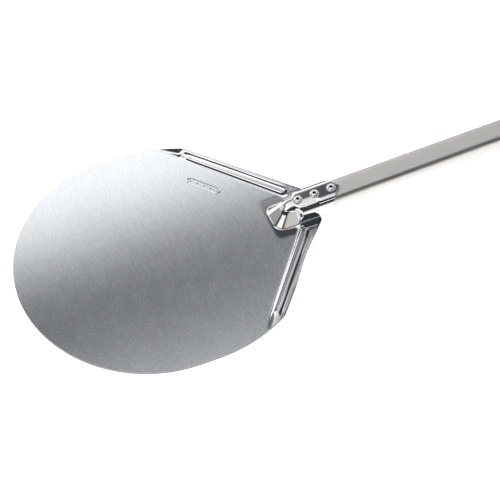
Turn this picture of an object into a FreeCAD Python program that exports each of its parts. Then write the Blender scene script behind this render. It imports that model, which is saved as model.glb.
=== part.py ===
import FreeCAD, Part
import math
import os

# Round pizza peel: a pressed sheet head riveted to a flat-oval tube handle with a plastic end cap.
# Origin: centre of the round blade, on its underside. +X runs along the handle, +Z is up. Millimetres.

# Head sheet
BLADE_R = 165.0  # front half of the blade is a true half circle
SHEET_T = 1.5
SIDE_FLAT = 22.0  # straight stretch of the side behind the widest point
SIDE_R = 195.0  # arc that turns the side in towards the shoulder
CORNER_X = 109.0  # where the side arc meets the straight shoulder
CORNER_BLEND = 3.0
NECK_X = 219.0  # rear edge of the sheet beside the sleeve
NECK_HALF = 25.5

# Shoulder ribs: flat-topped beads pressed up along both shoulders
RIB_H = 3.0
RIB_INNER_END = (189.0, 34.5)
RIB_BASE_R = 7.0
RIB_TOP_R = 4.4
RIB_OUTER_TOP = (111.0, 126.2)
RIB_OUTER_TOP_R = 2.6
RIB_RUNOUT = (99.0, 140.3)
RIB_RUNOUT_R = 5.2
RIB_DRAW = 0.5  # how much smaller the hollow side of the bead is, all round

# Raised nose and half-sleeve that take the handle
NOSE_FRONT_X = 160.0
NOSE_CREST_X = 177.0
NOSE_WIDE_X = 172.0  # station where the tapered nose section is stated
NOSE_BASE_HALF = 20.5
NOSE_TOP_HALF = 10.3
NOSE_CORNER_R = 3.2
SLEEVE_X = 195.0  # from here back the section hugs the tube
SLEEVE_END_LOW = 228.0
SLEEVE_END_HIGH = 239.0
NOSE_FILLET = 5.0
SLEEVE_GAP = 0.2  # side clearance between the sleeve and the tube

# Handle tube
HANDLE_RISE = 2.6  # degrees above the blade plane
AXIS_X = 180.0  # station where the height of the tube's axis is stated
AXIS_Z = 12.6
TUBE_W = 33.0
TUBE_H = 16.0
TUBE_WALL = 1.5
TUBE_FRONT = 10.0  # distance from AXIS_X to the tube's front end, along the axis
TUBE_LEN = 598.5
MITRE_LEN = 15.0  # front corners cut back to seat in the tapered nose
MITRE_HALF = 8.5

# Rivet strap
STRAP_T = 1.6
STRAP_HALF = 14.5
STRAP_NOSE_X = 184.0
STRAP_NOSE_R = 8.0
STRAP_FLARE_X = 206.0
STRAP_SQUARE_X = 239.0
STRAP_TIP_X = 252.5
STRAP_GAP = 0.02

# Open-end blind rivets
RIVET_XS = {"front": 196.4, "middle": 218.7, "rear": 241.0}
SHANK_R = 3.0
RIVET_HOLE_R = 3.1
FLANGE_R = 6.0
FLANGE_T = 1.1
COLLAR_R = 4.7
COLLAR_H = 2.5
RIVET_BORE_R = 1.85
BULB_R = 4.4
BULB_H = 5.0
STUB_R = 1.75

# End cap
CAP_WALL = 2.0
CAP_GRIP = 34.0  # length that slides over the tube
CAP_TAIL = 34.0  # solid tail beyond the tube's end
CAP_HOLE_R = 6.5
CAP_HOLE_BACK = 15.0  # hole centre to the cap's rear end
CAP_GAP = 0.1

# Plain pressed mark near the far shoulder
MARK_POS = (104.0, 82.0)
MARK_ANGLE = -48.0
MARK_L = 46.0
MARK_W = 9.0
MARK_H = 0.4
MARK_PIPS = 5

V = FreeCAD.Vector
UP = V(0, 0, 1)
RISE = math.radians(HANDLE_RISE)
BIG = 400.0


def axis_z(x):
    """Height of the tube's axis at station x."""
    return AXIS_Z + (x - AXIS_X) * math.tan(RISE)


def on_tube(shape, x=AXIS_X):
    """Moves a shape from tube coordinates (x along the axis, z out of its top) to the row frame."""
    placed = shape.copy()
    placed.rotate(V(0, 0, 0), V(0, 1, 0), -HANDLE_RISE)
    placed.translate(V(x, 0, axis_z(x)))
    return placed


def prism(points, z0, height):
    """Upright prism over a closed polygon in plan."""
    wire = Part.makePolygon([V(x, y, z0) for x, y in points] + [V(points[0][0], points[0][1], z0)])
    return Part.Face(wire).extrude(UP * height)


def side_prism(points, half):
    """Prism across the width over a closed polygon in the XZ plane."""
    wire = Part.makePolygon([V(x, -half, z) for x, z in points] + [V(points[0][0], -half, points[0][1])])
    return Part.Face(wire).extrude(V(0, 2 * half, 0))


def oval_wire(width, height, x):
    """Flat-oval section across the tube's axis at distance x."""
    r = height / 2
    flat = width / 2 - r
    corners = [V(x, flat, r), V(x, flat, -r), V(x, -flat, -r), V(x, -flat, r)]
    edges = [
        Part.Arc(corners[0], V(x, flat + r, 0), corners[1]).toShape(),
        Part.LineSegment(corners[1], corners[2]).toShape(),
        Part.Arc(corners[2], V(x, -flat - r, 0), corners[3]).toShape(),
        Part.LineSegment(corners[3], corners[0]).toShape(),
    ]
    return Part.Wire(edges)


def oval_bar(width, height, x0, x1):
    """Solid flat-oval bar along the tube's axis, in tube coordinates."""
    return Part.Face(oval_wire(width, height, x0)).extrude(V(x1 - x0, 0, 0))


def capsule_wire(c0, r0, c1, r1, z):
    """Outline round two circles of different radius, joined by their outer tangents."""
    along = V(c1[0] - c0[0], c1[1] - c0[1], 0)
    d = along.Length
    heading = math.atan2(along.y, along.x)
    swing = math.acos((r0 - r1) / d)

    def at(c, r, angle):
        return V(c[0] + r * math.cos(angle), c[1] + r * math.sin(angle), z)

    a, b = heading + swing, heading - swing
    edges = [
        Part.Arc(at(c0, r0, a), at(c0, r0, heading + math.pi), at(c0, r0, b)).toShape(),
        Part.LineSegment(at(c0, r0, b), at(c1, r1, b)).toShape(),
        Part.Arc(at(c1, r1, b), at(c1, r1, heading), at(c1, r1, a)).toShape(),
        Part.LineSegment(at(c1, r1, a), at(c0, r0, a)).toShape(),
    ]
    return Part.Wire(edges)


def mirrored(shape):
    """The same shape on the other side of the handle's centre plane."""
    return shape.mirror(V(0, 0, 0), V(0, 1, 0))


def side_y(x):
    """Half-width of the blade on the arc behind its widest point."""
    return BLADE_R - SIDE_R + math.sqrt(SIDE_R**2 - (x - SIDE_FLAT) ** 2)


def blade_plan(z0, height):
    """Prism over the outline of the head."""
    mid_x = (SIDE_FLAT + CORNER_X) / 2
    corner = V(CORNER_X, side_y(CORNER_X), z0)
    neck = V(NECK_X, NECK_HALF, z0)
    right = [
        Part.LineSegment(V(0, BLADE_R, z0), V(SIDE_FLAT, BLADE_R, z0)).toShape(),
        Part.Arc(V(SIDE_FLAT, BLADE_R, z0), V(mid_x, side_y(mid_x), z0), corner).toShape(),
        Part.LineSegment(corner, neck).toShape(),
    ]
    left = [mirrored(edge) for edge in right]
    front = Part.Arc(V(0, BLADE_R, z0), V(-BLADE_R, 0, z0), V(0, -BLADE_R, z0)).toShape()
    back = Part.LineSegment(neck, V(NECK_X, -NECK_HALF, z0)).toShape()
    wire = Part.Wire(Part.__sortEdges__([front, back] + right + left))
    solid = Part.Face(wire).extrude(UP * height)
    upright = [
        edge
        for edge in solid.Edges
        if abs(edge.BoundBox.ZLength - height) < 1e-6
        and abs(edge.CenterOfMass.x - CORNER_X) < 0.5
        and edge.BoundBox.XLength < 1e-6
    ]
    return solid.makeFillet(CORNER_BLEND, upright)


def neck_section(x, half_low, slope, corner_r, drop, inset):
    """Closed section across the neck: sloping sides, rounded upper corners, flat roof."""
    z_low = -2.0
    roof = axis_z(x) + (TUBE_H / 2 + SHEET_T) / math.cos(RISE) - drop
    inset_side = inset * math.hypot(1, slope)
    half_at_zero = half_low - inset_side
    corner_y = half_at_zero - slope * roof
    r = max(corner_r - inset, 1.0)
    turn = math.pi / 2 - math.atan(slope)
    reach = r * math.tan(turn / 2)
    side_dir = V(0, slope, -1).normalize()
    top = V(x, corner_y - reach, roof)
    side = V(x, corner_y, roof) + side_dir * reach
    centre = V(x, corner_y - reach, roof - r)
    mid = centre + V(0, math.sin(turn / 2), math.cos(turn / 2)) * r
    foot = V(x, half_at_zero - slope * z_low, z_low)

    def flip(p):
        return V(p.x, -p.y, p.z)

    edges = [
        Part.LineSegment(flip(foot), foot).toShape(),
        Part.LineSegment(foot, side).toShape(),
        Part.Arc(side, mid, top).toShape(),
        Part.LineSegment(top, flip(top)).toShape(),
        Part.Arc(flip(top), flip(mid), flip(side)).toShape(),
        Part.LineSegment(flip(side), flip(foot)).toShape(),
    ]
    return Part.Wire(edges)


def neck_body(inset):
    """Nose and sleeve as one solid; inset 0 gives the outside, the sheet's thickness the inside."""
    slope = (NOSE_BASE_HALF - NOSE_TOP_HALF) / (AXIS_Z + TUBE_H / 2)
    sleeve_half = TUBE_W / 2 + SLEEVE_GAP + SHEET_T
    sleeve_r = TUBE_H / 2 + SHEET_T
    far_x = STRAP_TIP_X + 20
    start_x = NOSE_FRONT_X - 12
    spread = slope * (SLEEVE_X - start_x) / (SLEEVE_X - NOSE_WIDE_X)
    low_step = (NOSE_BASE_HALF - sleeve_half) / (SLEEVE_X - NOSE_WIDE_X)
    start_low = sleeve_half + low_step * (SLEEVE_X - start_x)
    taper = Part.makeLoft(
        [
            neck_section(start_x, start_low, spread * 0.62, NOSE_CORNER_R, inset, inset),
            neck_section(NOSE_WIDE_X, NOSE_BASE_HALF, slope, NOSE_CORNER_R, inset, inset),
            neck_section(SLEEVE_X, sleeve_half, 0.0, sleeve_r, inset, inset),
            neck_section(far_x, sleeve_half, 0.0, sleeve_r, inset, inset),
        ],
        True,
        True,
    )
    front_run = NOSE_CREST_X - NOSE_FRONT_X
    roof = axis_z(NOSE_CREST_X) + TUBE_H / 2 + SHEET_T
    front_angle = math.atan2(roof - SHEET_T, front_run)
    shift = inset / math.sin(front_angle)
    lift = 10.0
    lean = front_run / (roof - SHEET_T)
    cutter = [
        (NOSE_FRONT_X + shift - (SHEET_T + lift) * lean, -lift),
        (far_x, -lift),
        (far_x, 60.0),
        (NOSE_FRONT_X + shift + (60.0 - SHEET_T) * lean, 60.0),
    ]
    body = taper.common(side_prism(cutter, 60.0))
    return body


def sleeve_end_cut():
    """Everything behind the sleeve's oblique rear end."""
    lean = (SLEEVE_END_HIGH - SLEEVE_END_LOW) / (axis_z(SLEEVE_END_HIGH) + TUBE_H / 2)
    low_z, high_z = -10.0, 50.0
    return side_prism(
        [
            (SLEEVE_END_LOW + low_z * lean, low_z),
            (BIG, low_z),
            (BIG, high_z),
            (SLEEVE_END_LOW + high_z * lean, high_z),
        ],
        60.0,
    )


def rib(inset, lower):
    """One shoulder bead as a solid, for the outside or, shrunk and lowered, for the hollow side."""
    base_z = SHEET_T - lower
    low = capsule_wire(RIB_INNER_END, RIB_BASE_R - inset, RIB_RUNOUT, RIB_RUNOUT_R - inset, base_z)
    high = capsule_wire(
        RIB_INNER_END, RIB_TOP_R - inset, RIB_OUTER_TOP, RIB_OUTER_TOP_R - inset, base_z + RIB_H
    )
    return Part.makeLoft([low, high], True, True)


def roof_hole(x, radius):
    """Cylinder through the roof, square to the tube, for a rivet at station x."""
    return on_tube(Part.makeCylinder(radius, 2 * TUBE_H, V(0, 0, 0), UP), x)


def mark_panel():
    """Plain raised frame with a row of round pips, pressed into the blade."""
    r = MARK_W / 2
    straight = MARK_L / 2 - r
    outer = Part.Face(capsule_wire((-straight, 0), r, (straight, 0), r - 1e-3, SHEET_T))
    inner = Part.Face(capsule_wire((-straight, 0), r - 1.3, (straight, 0), r - 1.301, SHEET_T))
    frame = outer.cut(inner).extrude(UP * MARK_H)
    pitch = 2 * straight / (MARK_PIPS - 1)
    pips = [
        Part.makeCylinder(1.5, MARK_H, V(-straight + i * pitch, 0, SHEET_T), UP) for i in range(MARK_PIPS)
    ]
    panel = frame.multiFuse(pips)
    panel.rotate(V(0, 0, 0), UP, MARK_ANGLE)
    panel.translate(V(MARK_POS[0], MARK_POS[1], 0))
    return panel


def nose_root_edges(solid):
    """Edges where the nose and the sleeve's sides meet the top of the sheet."""
    found = []
    for edge in solid.Edges:
        box = edge.BoundBox
        flat = box.ZLength < 1e-4 and abs(box.ZMin - SHEET_T) < 1e-4
        near = box.XMin > NOSE_FRONT_X - 1 and box.XMax < NECK_X + 1 and max(-box.YMin, box.YMax) < 23
        if flat and near and edge.Length > 2:
            found.append(edge)
    return found


def make_blade():
    """The whole head: flat blade, shoulder ribs, nose and sleeve, pressed from one sheet."""
    plan = blade_plan(0.0, SHEET_T)
    outline = blade_plan(0.0, 20.0)
    bead = rib(0.0, 0.0).common(outline)
    hollow = rib(RIB_DRAW, SHEET_T)
    outside = plan.multiFuse([neck_body(0.0).cut(sleeve_end_cut()), bead, mirrored(bead)])
    below = Part.makeBox(2 * BIG, 2 * BIG, 20, V(-BIG, -BIG, -20))
    outside = outside.cut(below).removeSplitter()
    outside = outside.makeFillet(NOSE_FILLET, nose_root_edges(outside))
    holes = [roof_hole(x, RIVET_HOLE_R) for x in RIVET_XS.values()]
    head = outside.cut(neck_body(SHEET_T).multiFuse([hollow, mirrored(hollow)] + holes))
    return head.fuse(mark_panel()).removeSplitter()


def make_strap():
    """Reinforcing strap over the sleeve's roof: round nose, flared sides, pointed rear end."""
    seat = SHEET_T + STRAP_GAP
    width = TUBE_W + 2 * SLEEVE_GAP
    shell = oval_bar(width + 2 * (seat + STRAP_T), TUBE_H + 2 * (seat + STRAP_T), -20, 90)
    core = oval_bar(width + 2 * seat, TUBE_H + 2 * seat, -21, 91)
    skin = on_tube(shell.cut(core))
    reach = math.hypot(STRAP_FLARE_X - STRAP_NOSE_X, STRAP_HALF)
    angle = math.atan2(STRAP_HALF, STRAP_FLARE_X - STRAP_NOSE_X) + math.acos(STRAP_NOSE_R / reach)
    tangent = (STRAP_NOSE_X + STRAP_NOSE_R * math.cos(angle), STRAP_NOSE_R * math.sin(angle))
    half_plan = [
        tangent,
        (STRAP_FLARE_X, STRAP_HALF),
        (STRAP_SQUARE_X, STRAP_HALF),
        (STRAP_TIP_X, 0.0),
    ]
    body = prism(half_plan + [(x, -y) for x, y in half_plan[-2::-1]], 0, 60)
    nose = Part.makeCylinder(STRAP_NOSE_R, 60, V(STRAP_NOSE_X, 0, 0), UP)
    plan = body.fuse(nose).removeSplitter()
    above = Part.makeBox(BIG, BIG, BIG, V(0, -BIG / 2, axis_z(STRAP_NOSE_X)))
    strap = skin.common(plan).common(above)
    return strap.cut(Part.makeCompound([roof_hole(x, RIVET_HOLE_R) for x in RIVET_XS.values()]))


def make_tube():
    """Flat-oval handle tube with its front corners cut back and three rivet holes in its upper wall."""
    end = TUBE_FRONT + TUBE_LEN
    outer = oval_bar(TUBE_W, TUBE_H, TUBE_FRONT, end)
    bore = oval_bar(TUBE_W - 2 * TUBE_WALL, TUBE_H - 2 * TUBE_WALL, TUBE_FRONT - 1, end + 1)
    tube = outer.cut(bore)
    half = TUBE_W / 2 + 1
    corner = prism([(TUBE_FRONT - 1, MITRE_HALF), (TUBE_FRONT, MITRE_HALF), (TUBE_FRONT + MITRE_LEN, half),
                    (TUBE_FRONT - 1, half)], -TUBE_H, 2 * TUBE_H)
    tube = tube.cut(Part.makeCompound([corner, mirrored(corner)]))
    return on_tube(tube).cut(Part.makeCompound([roof_hole(x, RIVET_HOLE_R) for x in RIVET_XS.values()]))


def rivet_seat():
    """Height of the strap's top face above the tube's axis."""
    return TUBE_H / 2 + SHEET_T + STRAP_GAP + STRAP_T


def revolved(profile):
    """Turns a closed radius-height profile round the rivet's axis."""
    wire = Part.makePolygon([V(r, 0, z) for r, z in profile + profile[:1]])
    return Part.Face(wire).revolve(V(0, 0, 0), UP, 360)


def make_rivet_body(x):
    """Set rivet body: flange, stepped collar, hollow shank and the bulb drawn up inside the tube."""
    top = rivet_seat()
    inside = TUBE_H / 2 - TUBE_WALL
    body = revolved(
        [
            (RIVET_BORE_R, top + COLLAR_H),
            (COLLAR_R - 0.9, top + COLLAR_H),
            (COLLAR_R, top + COLLAR_H - 0.8),
            (COLLAR_R, top + FLANGE_T),
            (FLANGE_R - 0.3, top + FLANGE_T),
            (FLANGE_R, top + FLANGE_T - 0.4),
            (FLANGE_R, top),
            (SHANK_R, top),
            (SHANK_R, inside),
            (BULB_R, inside),
            (BULB_R, inside - BULB_H * 0.5),
            (SHANK_R, inside - BULB_H),
            (RIVET_BORE_R, inside - BULB_H),
        ]
    )
    return on_tube(body, x)


def make_rivet_mandrel(x):
    """Broken-off mandrel left in a set rivet: stub in the shank and head under the bulb."""
    low = TUBE_H / 2 - TUBE_WALL - BULB_H
    mandrel = revolved(
        [
            (0, low + BULB_H + 1.2),
            (STUB_R * 0.7, low + BULB_H + 1.2),
            (STUB_R, low + BULB_H + 0.7),
            (STUB_R, low),
            (SHANK_R - 0.2, low),
            (SHANK_R - 0.5, low - 1.3),
            (1.2, low - 2.0),
            (0, low - 2.0),
        ]
    )
    return on_tube(mandrel, x)


def make_end_cap():
    """Moulded cap over the tube's rear end, with a tail that carries the hanging hole."""
    end = TUBE_FRONT + TUBE_LEN
    width = TUBE_W + 2 * CAP_WALL
    height = TUBE_H + 2 * CAP_WALL
    grip = oval_bar(width, height, end - CAP_GRIP, end + 8)
    socket = oval_bar(TUBE_W + 2 * CAP_GAP, TUBE_H + 2 * CAP_GAP, end - CAP_GRIP - 1, end)
    tail_r = width / 2
    centre_x = end + CAP_TAIL - tail_r
    tail = oval_bar(width, height, end, end + CAP_TAIL).common(
        Part.makeCylinder(tail_r, 2 * height, V(centre_x, 0, -height), UP)
    )
    cap = grip.fuse(tail).removeSplitter()
    hole = Part.makeCylinder(CAP_HOLE_R, 2 * height, V(end + CAP_TAIL - CAP_HOLE_BACK, 0, -height), UP)
    cap = cap.cut(hole)
    rims = [edge for edge in cap.Edges if abs(edge.BoundBox.XMin - (end - CAP_GRIP)) < 1e-6
            and edge.BoundBox.XLength < 1e-6]
    cap = cap.makeFillet(1.0, rims)
    return on_tube(cap.cut(socket))


def main():
    os.makedirs("parts", exist_ok=True)
    nodes = {
        "blade": make_blade(),
        "neck_strap": make_strap(),
        "handle_tube": make_tube(),
        "end_cap": make_end_cap(),
    }
    for place, x in RIVET_XS.items():
        nodes[place + "_rivet_body"] = make_rivet_body(x)
        nodes[place + "_rivet_mandrel"] = make_rivet_mandrel(x)
    for name, shape in nodes.items():
        box = shape.BoundBox
        print(name, shape.ShapeType, len(shape.Solids), shape.isValid(), round(shape.Volume / 1000, 2), "cm3",
              [round(v, 1) for v in (box.XMin, box.XMax, box.YMin, box.YMax, box.ZMin, box.ZMax)])
        shape.exportStep("parts/" + name + ".step")


main()
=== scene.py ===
import math

import bmesh
import bpy
import numpy as np
from mathutils import Matrix, Vector
from mathutils.geometry import delaunay_2d_cdt
from mathutils.kdtree import KDTree


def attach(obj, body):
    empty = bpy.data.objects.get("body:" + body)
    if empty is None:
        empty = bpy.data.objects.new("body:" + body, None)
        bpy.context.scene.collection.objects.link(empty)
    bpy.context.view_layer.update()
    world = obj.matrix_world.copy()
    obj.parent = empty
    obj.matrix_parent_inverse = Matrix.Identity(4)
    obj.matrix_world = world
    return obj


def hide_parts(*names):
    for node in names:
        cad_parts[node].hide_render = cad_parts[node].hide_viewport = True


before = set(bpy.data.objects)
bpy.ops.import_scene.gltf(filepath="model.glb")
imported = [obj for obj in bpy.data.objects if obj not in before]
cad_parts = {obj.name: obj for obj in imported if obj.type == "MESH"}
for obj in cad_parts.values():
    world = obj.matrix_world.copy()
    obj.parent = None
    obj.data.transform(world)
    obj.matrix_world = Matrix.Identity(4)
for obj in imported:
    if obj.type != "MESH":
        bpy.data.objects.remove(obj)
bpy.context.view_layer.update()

MM = 0.001

# Sizes of the part, in millimetres, in the row frame
BLADE_R = 165.0
SHEET_T = 1.5
SIDE_FLAT, SIDE_R = 22.0, 195.0  # end of the side's straight part, and its radius behind that
NECK_X = 219.0
EDGE = 0.35  # rounding of the sheet's cut edge

RIB_H = 2.1
RIB_BASE_RS = (6.8, 6.0)  # half-widths of the foot at the neck and at the run-out
RIB_TOP_RS = (2.0, 1.8)
RIB_LEAN = 1.4  # how far the flat top sits towards the blade's middle
FLANGE_SLOPE, FLANGE_REACH = 0.095, 8.0
RIPPLE, RIPPLE_STEP = 0.05, 2.3  # fine lines pressed along the flange
GROOVE = 0.28  # dip of the sheet along a rib's inner foot
RIB_LATTICE = (-0.3, 0.0, 0.06, 0.12, 0.24, 0.35, 0.46, 0.52, 0.58, 0.7, 0.82, 0.93, 0.97, 1.0,
               1.05, 1.1, 1.16, 1.22, 1.28, 1.36, 1.45)
GROOVE_LATTICE = (1.53, 1.62, 1.71, 1.82)
SIDE_FADE = 3.0  # what belongs to one side of a rib fades in over this distance from its middle line

# Each shoulder as it was cut and pressed, by the sign of y, in (x, |y|)
SHOULDERS = {
    1: {"corner_x": 102.5, "neck": (NECK_X, 26.3), "hollow": 0.0,
        "end": (191.2, 36.6), "top": (105.5, 130.6), "runout": (97.5, 139.6)},
    -1: {"corner_x": 119.5, "neck": (NECK_X, 22.9), "hollow": 2.6,
         "end": (191.8, 31.7), "top": (112.5, 130.1), "runout": (96.2, 150.4)},
}

RISE = math.radians(2.6)
AXIS_X, AXIS_Z = 180.0, 12.6
TUBE_W, TUBE_H, TUBE_WALL = 33.0, 16.0, 1.5
TUBE_FRONT, TUBE_LEN = 10.0, 598.5

NOSE_FRONT, NOSE_CREST = 160.0, 177.0
NOSE_BASE_HALF = 20.5
SLEEVE_X = 195.0
SLEEVE_HALF = TUBE_W / 2 + 0.2 + SHEET_T
SLEEVE_R = TUBE_H / 2 + SHEET_T
SLEEVE_END_LOW, SLEEVE_END_HIGH = 228.0, 239.0
PATCH_FRONT, PATCH_HALF = 150.0, 22.3  # plan patch that holds the nose and sleeve
NOSE_PLAN_R = 11.5  # corner radius of the nose's foot in plan
NOSE_LEAN, NOSE_CORNER_R = 0.58, 8.0
ROOT_R = 1.6  # fillet where the nose and sleeve meet the sheet

STRAP_T, STRAP_HALF = 1.6, 14.5
STRAP_FRONT, STRAP_FRONT_HALF = 174.5, 8.16
STRAP_FLARE, STRAP_SHOULDER, STRAP_POINT = 206.0, 239.0, 252.5  # where it widens, narrows again and ends
STRAP_EDGE = 0.9  # rounding of its upper edge
RIVET_XS = {"front": 196.4, "middle": 218.7, "rear": 241.0}
RIVET_BORE_R = 1.85

CAP_WALL = 2.0
CAP_LIP, CAP_TAIL = 34.0, 34.0  # reach of the cap to either side of the tube's end
HOLE_FROM_TIP = 15.0
GRIP_COUNT, GRIP_PITCH = 5, 5.2
GRIP_GROOVE = ((0.5, 0.12), (1.0, 0.55), (1.6, 0.7), (2.2, 0.55), (2.7, 0.12), (3.2, 0.0))  # place and depth


def smooth01(v):
    v = np.clip(v, 0.0, 1.0)
    return v * v * (3 - 2 * v)


def soft_min(a, b, r):
    """Smaller of two heights, with the crease rounded over a height r."""
    h = np.clip(0.5 + 0.5 * (b - a) / r, 0, 1)
    return b + (a - b) * h - r * h * (1 - h)


def soft_max(a, b, r):
    return -soft_min(-a, -b, r)


def unit(v):
    return v / np.linalg.norm(v)


def unit_rows(v, least=0.0):
    return v / (np.linalg.norm(v, axis=1, keepdims=True) + least)


def left_of(directions):
    """Unit normals to the left of plan directions."""
    return unit_rows(np.stack([-directions[:, 1], directions[:, 0]], 1))


def arc_points(centre, r, angles):
    return centre + r * np.stack([np.cos(angles), np.sin(angles)], 1)


def axis_z(x):
    return AXIS_Z + (x - AXIS_X) * math.tan(RISE)


# ---- mesh helpers

def smooth(mesh, angle):
    """Shades a mesh smooth, apart from edges sharper than an angle in degrees."""
    mesh.polygons.foreach_set("use_smooth", [True] * len(mesh.polygons))
    mesh.set_sharp_from_angle(angle=math.radians(angle))


def new_object(name, verts, faces, angle):
    """Smooth mesh object from millimetre vertices, riding on the peel's only body."""
    mesh = bpy.data.meshes.new(name)
    mesh.from_pydata((np.asarray(verts, float) * MM).tolist(), [], [tuple(int(i) for i in f) for f in faces])
    mesh.validate()
    mesh.update()
    smooth(mesh, angle)
    obj = bpy.data.objects.new(name, mesh)
    bpy.context.scene.collection.objects.link(obj)
    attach(obj, "root")
    return obj


def add_attribute(obj, name, values):
    """Gives a mesh a value at each vertex, for its material to read."""
    obj.data.attributes.new(name, "FLOAT", "POINT").data.foreach_set("value", values)


def grid_faces(rows, cols, close_cols=False):
    """Quads of a rows by cols block of vertices."""
    span = cols if close_cols else cols - 1
    return [
        (i * cols + j, (i + 1) * cols + j, (i + 1) * cols + (j + 1) % cols, i * cols + (j + 1) % cols)
        for i in range(rows - 1)
        for j in range(span)
    ]


def boundary_loops(faces):
    """Ordered vertex loops round the open edges of a face list."""
    seen = {}
    for f in faces:
        for a, b in zip(f, f[1:] + f[:1]):
            seen[(a, b)] = seen.get((a, b), 0) + 1
    nxt = {a: b for (a, b) in seen if (b, a) not in seen}
    loops = []
    while nxt:
        start = next(iter(nxt))
        loop = [start]
        cur = nxt.pop(start)
        while cur != start:
            loop.append(cur)
            cur = nxt.pop(cur)
        loops.append(loop)
    return loops


def shell(top, bottom, faces, edge_r):
    """Closed sheet between two matching vertex sets, with rounded rims on its open edges, above the floor."""
    n = len(top)
    verts = [top, bottom]
    out = list(faces) + [tuple(i + n for i in reversed(f)) for f in faces]
    for loop in boundary_loops(faces):
        t, b = top[loop], bottom[loop]
        through = unit_rows(t - b)
        outward = unit_rows(np.cross(np.roll(t, -1, 0) - np.roll(t, 1, 0), through), 1e-12)
        rings = [loop]
        for face, f_out, f_down in ((t, 0.62, 0.24), (t, 1.0, 1.0), (b, 1.0, -1.0), (b, 0.62, -0.24)):
            ring = face + (outward * f_out - through * f_down) * edge_r
            ring[:, 2] = np.maximum(ring[:, 2], 0.0)
            start = sum(len(v) for v in verts)
            verts.append(ring)
            rings.append(list(range(start, start + len(loop))))
        rings.append([i + n for i in loop])
        m = len(loop)
        for r0, r1 in zip(rings, rings[1:]):
            out += [(r0[(k + 1) % m], r0[k], r1[k], r1[(k + 1) % m]) for k in range(m)]
    return np.concatenate(verts), out


def weld(points, faces, reach=0.003):
    """Merges vertices that fall on each other."""
    tree = KDTree(len(points))
    for i, p in enumerate(points):
        tree.insert(p, i)
    tree.balance()
    remap = np.full(len(points), -1)
    for i, p in enumerate(points):
        if remap[i] < 0:
            for _, j, _ in tree.find_range(p, reach):
                if remap[j] < 0:
                    remap[j] = i
    index, compact = np.unique(remap, return_inverse=True)
    kept = []
    for f in faces:
        g = list(dict.fromkeys(int(compact[i]) for i in f))
        if len(g) > 2:
            kept.append(tuple(g))
    return points[index], kept


def drop_unused(points, faces):
    """Removes the points that no face uses."""
    used = np.unique([i for f in faces for i in f])
    place = np.full(len(points), -1)
    place[used] = np.arange(len(used))
    return points[used], [tuple(int(place[i]) for i in f) for f in faces]


def nearest(a, b):
    """Distance from each of the plan points a to the nearest of b."""
    return np.min(np.hypot(a[:, None, 0] - b[None, :, 0], a[:, None, 1] - b[None, :, 1]), 1)


def plan_grid(xs, ys):
    x, y = np.meshgrid(xs, ys)
    return np.stack([x.ravel(), y.ravel()], 1)


def triangulate(points, edges, reach):
    """Plan points and upward faces of a triangulation that keeps the given edges."""
    flat, _, tris, _, _, _ = delaunay_2d_cdt([Vector(p) for p in points], edges, [], 1, reach)
    p = np.array([tuple(q) for q in flat])
    faces = []
    for a, b, c in tris:
        turn = (p[b][0] - p[a][0]) * (p[c][1] - p[a][1]) - (p[b][1] - p[a][1]) * (p[c][0] - p[a][0])
        faces.append((a, b, c) if turn > 0 else (a, c, b))
    return p, faces


def vertex_normals(points, faces):
    """Area-weighted normals of a face list."""
    normals = np.zeros_like(points)
    tris = np.array([(f[0], f[k], f[k + 1]) for f in faces for k in range(1, len(f) - 1)])
    cross = np.cross(points[tris[:, 1]] - points[tris[:, 0]], points[tris[:, 2]] - points[tris[:, 0]])
    for k in range(3):
        np.add.at(normals, tris[:, k], cross)
    return unit_rows(normals, 1e-12)


# ---- shoulder ribs

def capsule_distance(p, a, b, ra, rb):
    """Signed distance in plan to the outline round two circles joined by tangents."""
    axis = b - a
    h = np.linalg.norm(axis)
    axis = axis / h
    rel = p - a
    y = rel @ axis
    x = np.abs(rel[:, 0] * axis[1] - rel[:, 1] * axis[0])
    s = (ra - rb) / h
    c = math.sqrt(1 - s * s)
    k = -s * x + c * y
    return np.where(
        k < 0, np.hypot(x, y) - ra, np.where(k > c * h, np.hypot(x, y - h) - rb, x * c + y * s - ra)
    )


def capsule_loop(a, b, ra, rb, straight=60, arc=16):
    """Points round the same outline, evenly numbered, so that two outlines can be interpolated."""
    axis = b - a
    h = np.linalg.norm(axis)
    heading = math.atan2(axis[1], axis[0])
    swing = math.acos((ra - rb) / h)
    first = heading + swing + np.linspace(0, 1, arc, endpoint=False) * (2 * math.pi - 2 * swing)
    second = heading - swing + np.linspace(0, 1, arc, endpoint=False) * 2 * swing
    arc_a, arc_b = arc_points(a, ra, first), arc_points(b, rb, second)
    end_a = arc_points(a, ra, np.array([heading - swing]))[0]
    end_b = arc_points(b, rb, np.array([heading + swing]))[0]
    t = np.linspace(0, 1, straight, endpoint=False)[:, None]
    return np.concatenate([arc_a, end_a + (arc_b[0] - end_a) * t, arc_b, end_b + (arc_a[0] - end_b) * t])


WALL_PLACES = np.linspace(0, 1, 201)
WALL_SLOPES = np.interp(WALL_PLACES, (0, 0.10, 0.36, 0.46, 0.94, 1), (0, 0.20, 0.22, 0.36, 0.36, 0))
WALL_DROPS = np.cumsum(WALL_SLOPES) / np.sum(WALL_SLOPES)


def wall_blend(w):
    """Share of the height lost at place w across a pressed wall: a shallow bevel, then a steeper part."""
    return np.interp(w, WALL_PLACES, WALL_DROPS)


def shoulder_plan(side):
    """Corner and neck of a shoulder's cut edge, and its rib's foot and top lines, in (x, |y|)."""
    sh = SHOULDERS[side]
    corner = np.array([sh["corner_x"], side_y(sh["corner_x"])])
    end, top, runout = (np.array(sh[k]) for k in ("end", "top", "runout"))
    axis = unit(end - top)
    outward = np.array([-axis[1], axis[0]])
    lean = outward * RIB_LEAN
    return {"corner": corner, "neck": np.array(sh["neck"]), "hollow": sh["hollow"], "outward": outward,
            "foot": (end, runout), "crest": (end - lean, top - lean)}


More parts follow.
